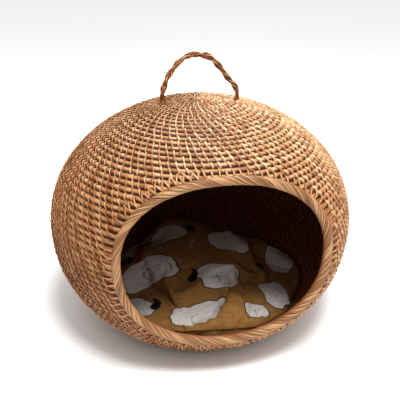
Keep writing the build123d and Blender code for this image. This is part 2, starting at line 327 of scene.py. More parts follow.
# ---------------------------------------------------------------- meshes
def make_mesh(name, points, faces, values=None):
    """Smooth object from points in millimetres, four-cornered faces and point values."""
    corners = points[faces]
    centre = points.mean(axis=0)
    a, b, c = corners[:, 0] - centre, corners[:, 1] - centre, corners[:, 2] - centre
    if np.einsum("ij,ij->i", a, np.cross(b, c)).sum() < 0:
        faces = faces[:, ::-1]
    mesh = bpy.data.meshes.new(name)
    mesh.vertices.add(len(points))
    mesh.vertices.foreach_set("co", (points * MM).astype(np.float32).ravel())
    mesh.loops.add(faces.size)
    mesh.loops.foreach_set("vertex_index", faces.astype(np.int32).ravel())
    mesh.polygons.add(len(faces))
    mesh.polygons.foreach_set("loop_start", np.arange(0, faces.size, 4, dtype=np.int32))
    mesh.polygons.foreach_set("use_smooth", np.ones(len(faces), bool))
    for key, value in (values or {}).items():
        store = mesh.attributes.new(key, "FLOAT", "POINT")
        store.data.foreach_set("value", np.asarray(value, np.float32).ravel())
    mesh.update(calc_edges=True)
    mesh.validate()
    made = bpy.data.objects.new(name, mesh)
    bpy.context.scene.collection.objects.link(made)
    return made


def lattice(count, sections, sides, start, ring):
    """Faces of count tubes with equal sections and sides; a ring joins its last section to its first."""
    spans = sections if ring else sections - 1
    k = np.arange(count)[:, None, None] * sections * sides
    i = np.arange(spans)[None, :, None]
    j = np.arange(sides)[None, None, :]
    i2, j2 = (i + 1) % sections, (j + 1) % sides
    quads = np.stack([k + i * sides + j, k + i * sides + j2, k + i2 * sides + j2, k + i2 * sides + j], -1)
    quads = quads.reshape(-1, 4)
    if not ring:
        caps = []
        for end in (0, sections - 1):
            for m in range(sides // 2 - 1):
                four = np.array([m, m + 1, sides - 2 - m, sides - 1 - m])
                four = four if end else four[::-1]
                caps.append((k[:, 0] + end * sides + four).reshape(-1, 4))
        quads = np.concatenate([quads] + caps)
    return quads + start


def tubes(centres, across, up, half_w, half_t, sides):
    """Points of flattened tubes: vectors are (tubes, sections, 3), the two halves (tubes, sections)."""
    a = 2 * np.pi * (np.arange(sides) + 0.5) / sides
    wide = np.cos(a) / np.cos(np.pi / sides)
    tall = np.sin(a)
    offset = half_w[..., None, None] * wide[:, None] * across[..., None, :]
    offset = offset + half_t[..., None, None] * tall[:, None] * up[..., None, :]
    return centres[..., None, :] + offset


def unit(v):
    """Vectors scaled to length 1."""
    return v / np.maximum(np.linalg.norm(v, axis=-1, keepdims=True), 1e-9)


def spread(values, shape):
    """Values of one tube each, copied to all its points."""
    return np.broadcast_to(np.asarray(values)[:, None, None], shape)


def per_section(values, shape):
    """Values of one section each, copied round it and to all tubes."""
    return np.broadcast_to(np.asarray(values)[None, :, None], shape)


class Batch:
    """Collects tubes of different kinds into one object."""

    def __init__(self):
        self.points = []
        self.faces = []
        self.values = {}
        self.count = 0

    def add(self, points, values, ring=False):
        """points is (tubes, sections, sides, 3); values are arrays of (tubes, sections, sides)."""
        tubes_n, sections, sides, _ = points.shape
        self.faces.append(lattice(tubes_n, sections, sides, self.count, ring))
        self.points.append(points.reshape(-1, 3))
        self.count += tubes_n * sections * sides
        for key, value in values.items():
            self.values.setdefault(key, []).append(np.broadcast_to(value, points.shape[:3]).ravel())

    def object(self, name):
        values = {key: np.concatenate(parts) for key, parts in self.values.items()}
        return make_mesh(name, np.concatenate(self.points), np.concatenate(self.faces), values)


# ---------------------------------------------------------------- weave
def mouth_half_angle(s, limit):
    """Half angle of the gap that the mouth cuts in a row at length s, 0 where the row is whole."""
    turn = np.radians(np.arange(0, 80, 0.1))
    point = frame_at(np.full(len(turn), s), turn - np.pi / 2)[0]
    cut = turn[mouth_gap(point) < limit]
    return cut.max() if len(cut) else 0.0


def row_phase(k):
    """Where the first stitch of row k stands, so that stitches run on from row to row."""
    phase = 0.0
    for row in range(k):
        phase += STITCH_RUN * 2 * math.pi / row_stitches(row)
    return phase


def row_stitches(k):
    """Stitches round row k."""
    return stitches_at(meridian((k + 0.5) * PITCH)[0][0])


def core_row(batch, k):
    """One row of cane, a ring or an open ring that ends inside the rim."""
    s = (k + 0.5) * PITCH
    count = row_stitches(k)
    gap = mouth_half_angle(s, ROW_END)
    steps = count * STEPS_PER_STITCH
    if gap:
        steps = int(steps * (1 - gap / math.pi)) + 1
        turn = np.linspace(-np.pi / 2 + gap, 3 * np.pi / 2 - gap, steps)
    else:
        turn = np.arange(steps) * 2 * np.pi / steps
    wave = rng.uniform(0, 2 * np.pi, 3)
    thick = 1 + 0.03 * np.sin(3 * turn + wave[0]) + 0.02 * np.sin(11 * turn + wave[1])
    stray = STRAY * np.sin(5 * turn + wave[2])
    pinch = np.cos((turn - row_phase(k) - STITCH_RUN * np.pi / count) * count)
    thick = thick - 0.02 * pinch
    share = float(base_share(s))
    lift = stray * (1 - share) - BASE_TUCK * share
    point, out, down, _ = frame_at(np.full(steps, s), turn)
    centre = point + out * lift[:, None]
    half_w = CORE_HALF * thick
    half_t = (CORE_OUT - 0.2 * share) * thick
    points = tubes(centre[None], down[None], out[None], half_w[None], half_t[None], CORE_SIDES)
    a = 2 * np.pi * (np.arange(CORE_SIDES) + 0.5) / CORE_SIDES
    shape = points.shape[:3]
    # rise and low tell the cane material where to paint shade: in the grooves between rows and on each row's
    # downhill half
    batch.add(points, {
        "rise": np.broadcast_to(np.sin(a), shape),
        "low": np.broadcast_to(np.cos(a), shape),
        "tone": np.broadcast_to(rng.uniform(0, 1), shape),
        "stitch": per_section((turn - row_phase(k)) * count / (2 * np.pi), shape),
    }, ring=not gap)


def stitch_row(batch, k):
    """All stitches over one row, outside and in."""
    s_top = k * PITCH
    s_mid = (k + 0.5) * PITCH
    count = row_stitches(k)
    step = 2 * np.pi / count
    turn = row_phase(k) + step * (np.arange(count) + rng.uniform(-0.09, 0.09, count))
    point = frame_at(np.full(count, s_mid), turn + step * STITCH_RUN / 2)[0]
    turn = turn[mouth_gap(point) > LAST_STITCH]
    kept = len(turn)
    if not kept:
        return
    share = float(base_share(s_mid))
    narrow = min(1.0, 0.45 + 0.55 * step * meridian(s_mid)[0][0] / FULL_STITCH_STEP)
    width = STITCH_W * narrow * rng.uniform(0.86, 1.14, kept)
    tone = rng.uniform(0, 1, kept)
    lean = rng.normal(0, 0.05, kept)
    proud = rng.uniform(-0.35, 0.35, kept)
    for knots, outside in ((STITCH_LIFT, True), (INNER_LIFT, False)):
        u, lift = np.array(knots).T
        within = np.clip(u, 0, 1)
        run = STITCH_RUN if outside else INNER_RUN
        travel = (run + lean[:, None]) * step * u[None, :]
        if not outside:
            travel = travel + STITCH_RUN * step
        here = turn[:, None] + travel
        s = s_top + u[None, :] * PITCH + 0 * here
        point, out, _, side = frame_at(s, here)
        bulge = proud[:, None] * np.sin(np.pi * within)[None, :]
        lift = lift[None, :] + (bulge if outside else -bulge) - BASE_TUCK * share
        centre = point + out * lift[..., None]
        travel_dir = unit(np.gradient(centre, axis=1))
        flat = unit(np.cross(travel_dir, out))
        flat = flat * np.sign(np.sum(flat * side, -1, keepdims=True))
        normal = unit(np.cross(flat, travel_dir))
        normal = normal * np.sign(np.sum(normal * out, -1, keepdims=True))
        tilt = np.zeros(len(u))
        taper = np.ones(len(u))
        if outside:
            tilt = np.radians(np.interp(within, (0, 1), STITCH_TILT)) * (1 - 0.8 * share)
            taper = 1 - STITCH_TAPER * within
        c, n = np.cos(tilt)[None, :, None], np.sin(tilt)[None, :, None]
        across = flat * c + normal * n
        up = normal * c - flat * n
        ends = np.ones(len(u))
        ends[[0, -1]] = STITCH_END
        half_w = width[:, None] / 2 * (taper * ends)[None, :]
        half_t = np.broadcast_to((STITCH_T / 2 * ends)[None, :], half_w.shape)
        if share > 0.5:
            half_t = half_t * 0.8
        points = tubes(centre, across, up, half_w, half_t, 6 if outside else 4)
        shape = points.shape[:3]
        # dip paints shade at the ends of each stitch, where it dips under; inner paints shade on the stitches
        # inside the basket
        batch.add(points, {
            "tone": spread(tone, shape),
            "dip": per_section(1 - np.sin(np.pi * within) ** 0.6, shape),
            "inner": np.full(shape, 0.0 if outside else 1.0),
        })


def build_weave():
    """Cane rows and stitches, one core object and one stitch object per CAD stretch."""
    ends = [first for _, first in STRETCHES[1:]] + [ROWS]
    for (name, first), end in zip(STRETCHES, ends):
        core, strips = Batch(), Batch()
        for k in range(first, end):
            core_row(core, k)
            stitch_row(strips, k)
        cane = core.object(f"{name}_cane")
        cane.data.materials.append(MATERIALS["cane_core"])
        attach(cane, "basket")
        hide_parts(f"{name}_coil")
        lash = strips.object(f"{name}_stitches")
        lash.data.materials.append(MATERIALS["rattan_strip"])
        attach(lash, "basket")
        if name == "base":
            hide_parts("base_button")
        else:
            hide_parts(f"{name}_lashings")
        if name == "crown":
            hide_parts("crown_button")


# ---------------------------------------------------------------- rim
def edge_dip(sides):
    """1 at the edges of a strip, 0 along its middle."""
    return np.abs(np.cos(2 * np.pi * (np.arange(sides) + 0.5) / sides)) ** 2


def ring_tangent(points):
    """Direction of a closed line at each of its points."""
    return unit(np.roll(points, -1, axis=0) - np.roll(points, 1, axis=0))


def ripple(s, count, start):
    """Sine of count waves once round the rim."""
    return np.sin(2 * np.pi * count * s + start)


def build_rim():
    """Strips wound side by side round the rim, and the pegs that tie it to the wall."""
    route, _ = rim_route(RIM_SECTIONS)
    ahead = ring_tangent(route)
    _, front = on_wall(route, np.zeros(RIM_SECTIONS))
    outward = unit(np.cross(ahead, front))
    front = np.cross(outward, ahead)
    s = np.arange(RIM_SECTIONS) / RIM_SECTIONS
    slim = 1 - RIM_SLIM[0] - RIM_SLIM[1] * np.exp(-(((s - SLIM_AT) / SLIM_REACH) ** 2))
    half_t = np.full((1, RIM_SECTIONS), RIM_STRIP_T / 2)
    batch = Batch()
    for strip in range(RIM_STRIPS):
        wobble = 0.09 * ripple(s, 9, rng.uniform(0, 6)) + 0.06 * ripple(s, 23, strip)
        turn = 2 * np.pi * (RIM_TURNS * s + strip / RIM_STRIPS) + wobble
        radial = np.cos(turn)[:, None] * front + np.sin(turn)[:, None] * outward
        depth = RIM_R * slim - RIM_STRIP_T / 2 + 0.22 * ripple(s, 17, rng.uniform(0, 6)) - 0.1
        centre = route + radial * depth[:, None]
        travel = ring_tangent(centre)
        across = unit(np.cross(travel, radial))
        half_w = RIM_STRIP_W / 2 * slim * (0.98 + 0.07 * ripple(s, 7, rng.uniform(0, 6)))
        points = tubes(centre[None], across[None], radial[None], half_w[None], half_t, RIM_SIDES)
        shape = points.shape[:3]
        # dip paints shade at the edges of each rim strip; inner paints shade on the side facing into the
        # basket
        batch.add(points, {
            "tone": np.full(shape, rng.uniform(0, 1)),
            "dip": np.broadcast_to(edge_dip(RIM_SIDES), shape),
            "inner": per_section(np.clip(-np.cos(turn), 0, 1) * 0.5, shape),
        }, ring=True)
    wrap = batch.object("rim_strips")
    wrap.data.materials.append(MATERIALS["rim_strip"])
    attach(wrap, "basket")
    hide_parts("rim_wrapping")
    build_pegs()


def on_wall(points, lift):
    """Moves points onto the wall at the given lifts above the core centre."""
    r = np.hypot(points[..., 0], points[..., 1])
    aside = PATH[None, :, 0] - r.reshape(-1, 1)
    above = PATH[None, :, 1] - points[..., 2].reshape(-1, 1)
    near = np.argmin(aside**2 + above**2, axis=1).reshape(r.shape)
    point, out, _, _ = frame_at(PATH_S[near], np.arctan2(points[..., 1], points[..., 0]))
    return point + out * lift[..., None], out


def build_pegs():
    """Strips that tie the rim to the wall: single down the sides, forked in pairs over the top left."""
    count = round(RIM_LENGTH / PEG_PITCH)
    route, _ = rim_route(count)
    place = np.arange(count) / count
    forked = (place > FORKED[0]) & (place < FORKED[1])
    place = np.concatenate([place, place[forked]])
    lean = np.concatenate([np.where(forked, FORK_SPREAD, 0.1), np.full(forked.sum(), -FORK_SPREAD)])
    route = np.concatenate([route, route[forked]])
    ahead = ring_tangent(rim_route(count)[0])
    ahead = np.concatenate([ahead, ahead[forked]])
    count = len(route)
    _, out = on_wall(route, np.zeros(count))
    back = unit(np.cross(ahead, out))
    share, lift = np.array(PEG_LIFT).T
    reach = PEG_START + share * (RIM_R + PEG_L - PEG_START)
    lean = lean + rng.normal(0, 0.1, count)
    short = SHORT_PEGS * np.exp(-(((place - SHORT_PEGS_AT) / SHORT_PEGS_REACH) ** 4))
    length = rng.uniform(0.9, 1.08, count) * (1 - short)
    flat = route[:, None] + back[:, None] * (reach[None, :] * length[:, None])[..., None]
    flat = flat + ahead[:, None] * (lean[:, None] * (reach[None, :] - 5.0))[..., None]
    centre, out = on_wall(flat, lift[None, :] + rng.uniform(-0.3, 0.5, count)[:, None])
    travel = unit(np.gradient(centre, axis=1))
    across = unit(np.cross(travel, out))
    up = unit(np.cross(across, travel))
    width = PEG_W / 2 * rng.uniform(0.8, 1.2, count)[:, None] * np.ones(len(reach))[None, :]
    points = tubes(centre, across, up, width, np.full(width.shape, PEG_T / 2), 6)
    shape = points.shape[:3]
    batch = Batch()
    batch.add(points, {
        "tone": spread(rng.uniform(0, 0.5, count), shape),
        "dip": np.zeros(shape),
        "inner": np.zeros(shape),
    })
    pegs = batch.object("rim_peg_strips")
    pegs.data.materials.append(MATERIALS["rattan_strip"])
    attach(pegs, "basket")
    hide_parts("rim_pegs")


# ---------------------------------------------------------------- handle
def catmull(points, count):
    """Smooth curve through points, evenly spaced."""
    ends = [2 * points[0] - points[1]] + list(points) + [2 * points[-1] - points[-2]]
    fine = []
    for p0, p1, p2, p3 in zip(ends, ends[1:], ends[2:], ends[3:]):
        for t in np.linspace(0, 1, 24, endpoint=False):
            fine.append(0.5 * (2 * p1 + (p2 - p0) * t + (2 * p0 - 5 * p1 + 4 * p2 - p3) * t**2
                               + (3 * p1 - p0 - 3 * p2 + p3) * t**3))
    fine = np.array(fine + [points[-1]])
    total = lengths(fine)
    return along(fine, total, np.linspace(0, total[-1], count)), total[-1]


def build_handle():
    """Two loose strands of fibre twisted together, from foot to foot."""
    arch = [np.array([x, 0.0, PIVOT_Z + z]) for x, z in ARCH]
    feet = [[np.array([side * FOOT_X, 0.0, PIVOT_Z + z]) for z in FOOT_HEIGHTS] for side in (-1, 1)]
    route, total = catmull(feet[0] + arch + feet[1][::-1], ROPE_SECTIONS)
    s = np.linspace(0, total, ROPE_SECTIONS)
    ahead = unit(np.gradient(route, axis=0))
    side = np.broadcast_to(np.array([0.0, 1.0, 0.0]), route.shape)
    up = unit(np.cross(ahead, side))
    foot = np.clip(np.minimum(s, total - s) / FOOT_L, 0, 1)
    plump = 0.72 + 0.28 * foot + 0.06 * np.sin(s / 13.0) + 0.05 * np.sin(s / 7.3 + 1)
    batch = Batch()
    for strand in range(2):
        turn = 2 * np.pi * s / ROPE_LAY + np.pi * strand + 0.3 * np.sin(s / 31.0)
        reach = STRAND_OFFSET * plump * (1 + 0.1 * np.sin(s / 17.0 + strand))
        core = route + (np.cos(turn) * reach)[:, None] * side + (np.sin(turn) * reach)[:, None] * up
        for fibre in range(FIBRES):
            ring = 0.45 if fibre < MIDDLE_FIBRES else 0.88
            start = rng.uniform(0, 2 * np.pi)
            spin = turn * FIBRE_SPIN + start + 0.5 * np.sin(s / rng.uniform(9, 23) + rng.uniform(0, 6))
            far = STRAND_R * plump * ring * (1 + 0.12 * np.sin(s / rng.uniform(6, 15)))
            centre = core + (np.cos(spin) * far)[:, None] * side + (np.sin(spin) * far)[:, None] * up
            fat = rng.uniform(0.5, 0.75) * (1 + 0.15 * np.sin(s / rng.uniform(5, 11)))
            points = tubes(centre[None], side[None], up[None], fat[None], fat[None], 5)
            batch.add(points, {"tone": np.full(points.shape[:3], rng.uniform(0, 1))})
    rope = batch.object("handle_rope_strands")
    rope.data.materials.append(MATERIALS["rope"])
    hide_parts("handle_rope", "handle_whipping_left", "handle_whipping_right")
    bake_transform(rope)


# ---------------------------------------------------------------- cushion
def bowl_radius(z):
    """Inner radius of the basket wall at heights z."""
    s = np.linspace(LOWER_S, PATH_S[-1] - 90, 400)
    p, d = meridian(s)
    inner = p + 5.4 * np.stack([d[:, 1], -d[:, 0]], 1)
    order = np.argsort(inner[:, 1])
    return np.interp(z, inner[order, 1], inner[order, 0])


def cushion_start():
    """Closed pillow of two square grids rounded to discs, sharing their edge."""
    side = CUSHION_CELLS + 1
    u, v = np.meshgrid(np.linspace(-1, 1, side), np.linspace(-1, 1, side))
    x, y = (u * np.sqrt(1 - v * v / 2)).ravel(), (v * np.sqrt(1 - u * u / 2)).ravel()
    edge = np.maximum(1 - np.minimum(np.hypot(x, y), 1) ** 2.6, 0) ** 0.45
    above = np.stack([x * CUSHION_R, y * CUSHION_R, SEAM_Z + (CUSHION_TOP - 8 - SEAM_Z) * edge], 1)
    below = np.stack([x * CUSHION_R, y * CUSHION_R, SEAM_Z - (SEAM_Z - CUSHION_FLOOR) * edge], 1)
    index = np.arange(side * side).reshape(side, side)
    rim = np.concatenate([index[0, :-1], index[:-1, -1], index[-1, :0:-1], index[:0:-1, 0]])
    lower = np.full(side * side, -1)
    lower[rim] = rim
    free = lower < 0
    lower[free] = side * side + np.arange(free.sum())
    lower = lower.reshape(side, side)
    quads = []
    for grid in (index, lower[:, ::-1]):
        four = [grid[:-1, :-1], grid[:-1, 1:], grid[1:, 1:], grid[1:, :-1]]
        quads.append(np.stack(four, -1).reshape(-1, 4))
    points = np.concatenate([above, below[free]])
    top = np.arange(len(points)) < side * side
    return points, np.concatenate(quads), top, rim


def build_cushion():
    """Stuffed round cushion, pinched by four tufts and pressed into the bowl."""
    points, faces, top, rim = cushion_start()
    cover = make_mesh("cushion_cover", points, faces)
    start = points.copy()
    pinch_all(points, top)
    points = puff(cover, points, start, top)
    settle(points)
    write_points(cover, points)
    for key, value in pattern(start).items():
        store = cover.data.attributes.new(key, "FLOAT", "POINT")
        store.data.foreach_set("value", value.astype(np.float32))
    finer = cover.modifiers.new("finer", "SUBSURF")
    finer.levels = 1
    with bpy.context.temp_override(object=cover, active_object=cover, selected_objects=[cover]):
        bpy.ops.object.modifier_apply(modifier="finer")
    cover.data.materials.append(MATERIALS["cushion_cloth"])
    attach(cover, "cushion")
    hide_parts("cushion_top_panel", "cushion_bottom_panel", "cushion_top_filling",
                "cushion_bottom_filling", "cushion_ties")
    seam_cord(points, rim)


def pinch_all(points, top):
    """Pulls the faces together at the tufts."""
    for tx, ty in TUFTS:
        d = np.hypot(points[:, 0] - tx, points[:, 1] - ty)
        pull = np.exp(-((d / TUFT_REACH) ** 1.15))
        goal = np.where(top, TUFT_Z, CUSHION_FLOOR + 7)
        keep = np.where(top, 1.0, 0.6)
        points[:, 2] += (goal - points[:, 2]) * pull * keep


def tuft_share(points):
    """1 at a tuft, 0 away from all."""
    near = np.min([np.hypot(points[:, 0] - x, points[:, 1] - y) for x, y in TUFTS], axis=0)
    return np.clip(1 - near / 6.5, 0, 1)


def puff(cover, points, start, top):
    """Blows the cover up against its tufts with the cloth solver."""
    write_points(cover, points)
    pins = cover.vertex_groups.new(name="pins")
    share = tuft_share(start)
    for index in np.nonzero(share > 0)[0]:
        pins.add([int(index)], float(min(1, share[index] * 2)), "REPLACE")
    under = np.nonzero(~top & (np.hypot(start[:, 0], start[:, 1]) < CUSHION_R * 0.8))[0]
    pins.add([int(k) for k in under], 1.0, "REPLACE")
    cloth = cover.modifiers.new("cloth", "CLOTH")
    setting = cloth.settings
    setting.quality = 6
    setting.mass = 0.25
    setting.tension_stiffness = 30
    setting.compression_stiffness = 30
    setting.shear_stiffness = 12
    setting.bending_stiffness = 0.6
    setting.shrink_min = -0.085
    setting.use_pressure = True
    setting.uniform_pressure_force = PRESSURE
    setting.vertex_group_mass = "pins"
    setting.effector_weights.gravity = 0.0
    cloth.collision_settings.use_collision = False
    cloth.collision_settings.use_self_collision = False
    cloth.point_cache.frame_start = 1
    cloth.point_cache.frame_end = CLOTH_FRAMES
    scene = bpy.context.scene
    for moment in range(1, CLOTH_FRAMES + 1):
        scene.frame_set(moment)
    depsgraph = bpy.context.evaluated_depsgraph_get()
    moved = read_points(cover.evaluated_get(depsgraph).data)
    cover.modifiers.remove(cloth)
    scene.frame_set(1)
    shift = moved - points
    size = np.linalg.norm(shift, axis=1, keepdims=True)
    return points + shift * np.minimum(1, PUFF_LIMIT / np.maximum(size, 1e-6))


def settle(points):
    """Keeps the cushion inside the bowl and near the part's height, propped up a little at the back."""
    back = np.clip((points[:, 1] + 20) / 150, 0, 1)
    above = np.clip((points[:, 2] - CUSHION_FLOOR) / 60, 0, 1)
    points[:, 2] += BACK_PROP * back * above
    points[:, 1] += FRONT_GAP * np.clip((-points[:, 1] - 60) / 110, 0, 1) ** 2
    points[:, 2] = np.maximum(points[:, 2], CUSHION_FLOOR)
    high = CUSHION_TOP + 2.5 + BACK_RISE * back
    over = points[:, 2] > high - 4
    points[over, 2] = (high - 4 + 4 * np.tanh((points[:, 2] - high + 4) / 4))[over]
    r = np.hypot(points[:, 0], points[:, 1])
    limit = np.minimum(bowl_radius(points[:, 2]) - WALL_GAP, CUSHION_R + 6)
    scale = np.minimum(1, limit / np.maximum(r, 1e-6))
    points[:, 0] *= scale
    points[:, 1] *= scale


def write_points(target, points):
    target.data.vertices.foreach_set("co", (points * MM).astype(np.float32).ravel())
    target.data.update()


def read_points(mesh):
    flat = np.zeros(len(mesh.vertices) * 3, np.float32)
    mesh.vertices.foreach_get("co", flat)
    return flat.reshape(-1, 3).astype(float) / MM


def blob(x, y, cx, cy, half_a, half_b, turn, lumps):
    """Rough signed distance to a rag shape with uneven corners, below 0 inside."""
    c, n = math.cos(turn), math.sin(turn)
    u = ((x - cx) * c + (y - cy) * n) / half_a
    v = ((y - cy) * c - (x - cx) * n) / half_b
    a = np.arctan2(v, u)
    square = (np.abs(np.cos(a)) ** 3.2 + np.abs(np.sin(a)) ** 3.2) ** (-1 / 3.2)
    size = 0.92 * square + 0.1 * np.sin(2 * a + lumps) + 0.09 * np.sin(3 * a + 2.3 * lumps)
    size = size + 0.05 * np.abs(np.sin(3.5 * a + 4.1 * lumps)) + 0.02 * np.sin(13 * a + lumps)
    return (np.hypot(u, v) / size - 1) * min(half_a, half_b) * 1.1


def stroke(x, y, points, half):
    """Signed distance to a curved line that thins out from the given half width."""
    best = np.full(len(x), 1e9)
    for k, ((x0, y0), (x1, y1)) in enumerate(zip(points, points[1:])):
        dx, dy = x1 - x0, y1 - y0
        t = np.clip(((x - x0) * dx + (y - y0) * dy) / (dx * dx + dy * dy), 0, 1)
        width = half * (1 - 0.85 * (k + t) / (len(points) - 1))
        best = np.minimum(best, np.hypot(x - x0 - t * dx, y - y0 - t * dy) - width)
    return best


# Printed cloth: pale rags (middle, half sizes, turn), dark leaves and fine pale arcs (middle, turn)
RAGS = [
    (-34, -126, 44, 30, -0.1), (-88, -26, 46, 25, 0.1), (18, -62, 38, 22, 0.1), (50, 22, 38, 28, -0.1),
    (-46, 56, 34, 25, 0.2), (10, 140, 44, 24, 0.0), (92, 100, 34, 22, 0.4), (112, -88, 25, 31, 0.3),
    (144, 4, 22, 30, -0.2), (-124, -84, 24, 28, 0.4), (-116, 92, 30, 22, -0.7), (-60, 124, 28, 20, 0.3),
    (62, -136, 25, 16, 0.3), (-148, 24, 16, 26, 0.0),
]
LEAVES = [(-24, -56, 0.4), (-5, 61, 0.9), (56, 96, 0.2), (-94, -90, 0.6), (96, -22, 1.4), (-128, 58, 0.3)]
ARCS = [
    (8, -94, 0.2), (136, -38, 1.2), (-112, -56, 0.7), (6, 14, 2.2),
    (-76, 10, 0.1), (100, 60, 1.8), (-30, 96, 0.6),
]
LEAF_L = 16
LEAF_HALF = 7.5
ARC_R = 19
ARC_HALF = 1.7


def pattern(flat):
    """Point values that draw the printed cloth, as distances in millimetres."""
    x, y = flat[:, 0], flat[:, 1]
    pale = np.full(len(x), 1e3)
    fold = np.full(len(x), 1e3)
    for k, (cx, cy, a, b, turn) in enumerate(RAGS):
        pale = np.minimum(pale, blob(x, y, cx, cy, a, b, turn, 1.7 * k))
        inner = blob(x, y, cx + a * 0.3, cy - b * 0.2, a * 0.5, b * 0.45, turn, 2.9 * k)
        fold = np.minimum(fold, np.abs(inner))
    dark = np.full(len(x), 1e3)
    for cx, cy, turn in LEAVES:
        bend = []
        for t in (0, 0.35, 0.7, 1.1):
            bend.append((cx + LEAF_L * math.cos(turn + t) * t, cy + LEAF_L * math.sin(turn + t) * t))
        dark = np.minimum(dark, stroke(x, y, bend, LEAF_HALF))
    fine = np.full(len(x), 1e3)
    for cx, cy, turn in ARCS:
        bend = []
        for t in np.linspace(0, 1.9, 10):
            bend.append((cx + ARC_R * math.cos(turn + t), cy + ARC_R * math.sin(turn + t)))
        fine = np.minimum(fine, stroke(x, y, bend, ARC_HALF))
    return {"pale": pale, "fold": fold, "dark": dark, "fine": fine}


def seam_cord(points, rim):
    """Fine ridge where the two faces of the cover meet, and a ring of thread at each tuft."""
    middle = points[rim]
    centre = np.array([0, 0, middle[:, 2].mean()])
    ahead = ring_tangent(middle)
    outward = unit((middle - centre) * np.array([1, 1, 0]))
    up = unit(np.cross(ahead, outward))
    half = np.full(len(rim), 1.0)
    route = middle + outward * 0.2
    batch = Batch()
    batch.add(tubes(route[None], outward[None], up[None], half[None], half[None] * 0.8, 6), {}, ring=True)
    seam = batch.object("cushion_seam")
    seam.data.materials.append(MATERIALS["thread"])
    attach(seam, "cushion")
    threads = Batch()
    a = 2 * np.pi * np.arange(THREAD_STEPS) / THREAD_STEPS
    outward = np.stack([np.cos(a), np.sin(a), 0 * a], 1)
    lift = np.broadcast_to(np.array([0, 0, 1.0]), outward.shape)
    half = np.full(THREAD_STEPS, 0.9)
    for x, y in TUFTS:
        near = np.hypot(points[:, 0] - x, points[:, 1] - y) < 5
        level = points[near & (points[:, 2] > SEAM_Z)][:, 2].min() + 0.7
        loop = np.array([x, y, level]) + THREAD_RING_R * outward
        threads.add(tubes(loop[None], outward[None], lift[None], half[None], half[None], 6), {}, ring=True)
    knots = threads.object("cushion_tuft_threads")
    knots.data.materials.append(MATERIALS["thread"])
    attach(knots, "cushion")


# ---------------------------------------------------------------- materials
class Graph:
    """Short way to write a node material."""

    def __init__(self, name):
        self.material = bpy.data.materials.new(name)
        self.material.use_nodes = True
        self.tree = self.material.node_tree
        self.shader = self.tree.nodes["Principled BSDF"]

    def node(self, kind, inputs=None, **facts):
        made = self.tree.nodes.new(kind)
        for key, value in facts.items():
            setattr(made, key, value)
        for key, value in (inputs or {}).items():
            if hasattr(value, "is_output"):
                self.tree.links.new(value, made.inputs[key])
            else:
                made.inputs[key].default_value = value
        return made

    def value(self, name):
        """Point value stored on the mesh."""
        return self.node("ShaderNodeAttribute", attribute_name=name).outputs["Fac"]

    def math(self, operation, *values):
        return self.node("ShaderNodeMath", dict(enumerate(values)), operation=operation).outputs[0]

    def span(self, value, low, high, out_low=0.0, out_high=1.0):
        """Value from low..high moved to out_low..out_high, smoothly and clamped."""
        made = self.node("ShaderNodeMapRange", {0: value, 1: low, 2: high, 3: out_low, 4: out_high},
                         interpolation_type="SMOOTHSTEP")
        return made.outputs[0]

    def ramp(self, value, stops):
        made = self.node("ShaderNodeValToRGB", {"Fac": value})
        steps = made.color_ramp.elements
        while len(steps) < len(stops):
            steps.new(0.5)
        for step, (place, colour) in zip(steps, stops):
            step.position = place
            step.color = (*linear(colour), 1)
        return made.outputs["Color"]

    def mix(self, share, a, b, blend="MIX"):
        made = self.node("ShaderNodeMix", data_type="RGBA", blend_type=blend)
        for key, value in ((0, share), (6, a), (7, b)):
            if hasattr(value, "is_output"):
                self.tree.links.new(value, made.inputs[key])
            elif key == 0:
                made.inputs[key].default_value = value
            else:
                made.inputs[key].default_value = (*linear(value), 1)
        return made.outputs[2]

    def noise(self, scale, detail=2.0):
        return self.node("ShaderNodeTexNoise", {"Scale": scale, "Detail": detail}).outputs["Fac"]

    def bump(self, height, strength, distance):
        made = self.node("ShaderNodeBump", {"Height": height, "Strength": strength, "Distance": distance})
        self.tree.links.new(made.outputs["Normal"], self.shader.inputs["Normal"])

    def finish(self, colour, rough, specular):
        for key, value in (("Base Color", colour), ("Roughness", rough), ("Specular IOR Level", specular)):
            if hasattr(value, "is_output"):
                self.tree.links.new(value, self.shader.inputs[key])
            else:
                self.shader.inputs[key].default_value = value
        return self.material


def linear(colour):
    """sRGB 0-255 to linear 0-1."""
    return tuple(c / 255 / 12.92 if c <= 10 else ((c / 255 + 0.055) / 1.055) ** 2.4 for c in colour)


def inside_share(g):
    """0 outside the basket, 1 inside it, where the cane is duller and painted darker brown as shade."""
    geometry = g.node("ShaderNodeNewGeometry")
    parts = g.node("ShaderNodeSeparateXYZ", {0: geometry.outputs["Position"]})
    normal = g.node("ShaderNodeSeparateXYZ", {0: geometry.outputs["Normal"]})
    radial = g.math("ADD", g.math("MULTIPLY", parts.outputs[0], normal.outputs[0]),
                    g.math("MULTIPLY", parts.outputs[1], normal.outputs[1]))
    over = g.math("MULTIPLY", g.math("SUBTRACT", parts.outputs[2], 0.15), normal.outputs[2])
    return g.math("SUBTRACT", 1.0, g.span(g.math("ADD", radial, over), -0.06, 0.03))


def shade_and_light_by_height(g, colour):
    """Painted shade, darker and browner down the sides, and painted light, paler over the crown."""
    geometry = g.node("ShaderNodeNewGeometry")
    height = g.node("ShaderNodeSeparateXYZ", {0: geometry.outputs["Position"]}).outputs[2]
    # Painted shade: darker and browner lower down
    tint = g.mix(g.span(height, 0.2, 0.31), LOW_PAINTED_SHADE, (255, 255, 255))
    colour = g.mix(1.0, colour, tint, "MULTIPLY")
    # Painted light: paler over the crown
    return g.mix(g.span(height, 0.24, 0.33, 0.0, 0.08), colour, CROWN_PAINTED_LIGHT)


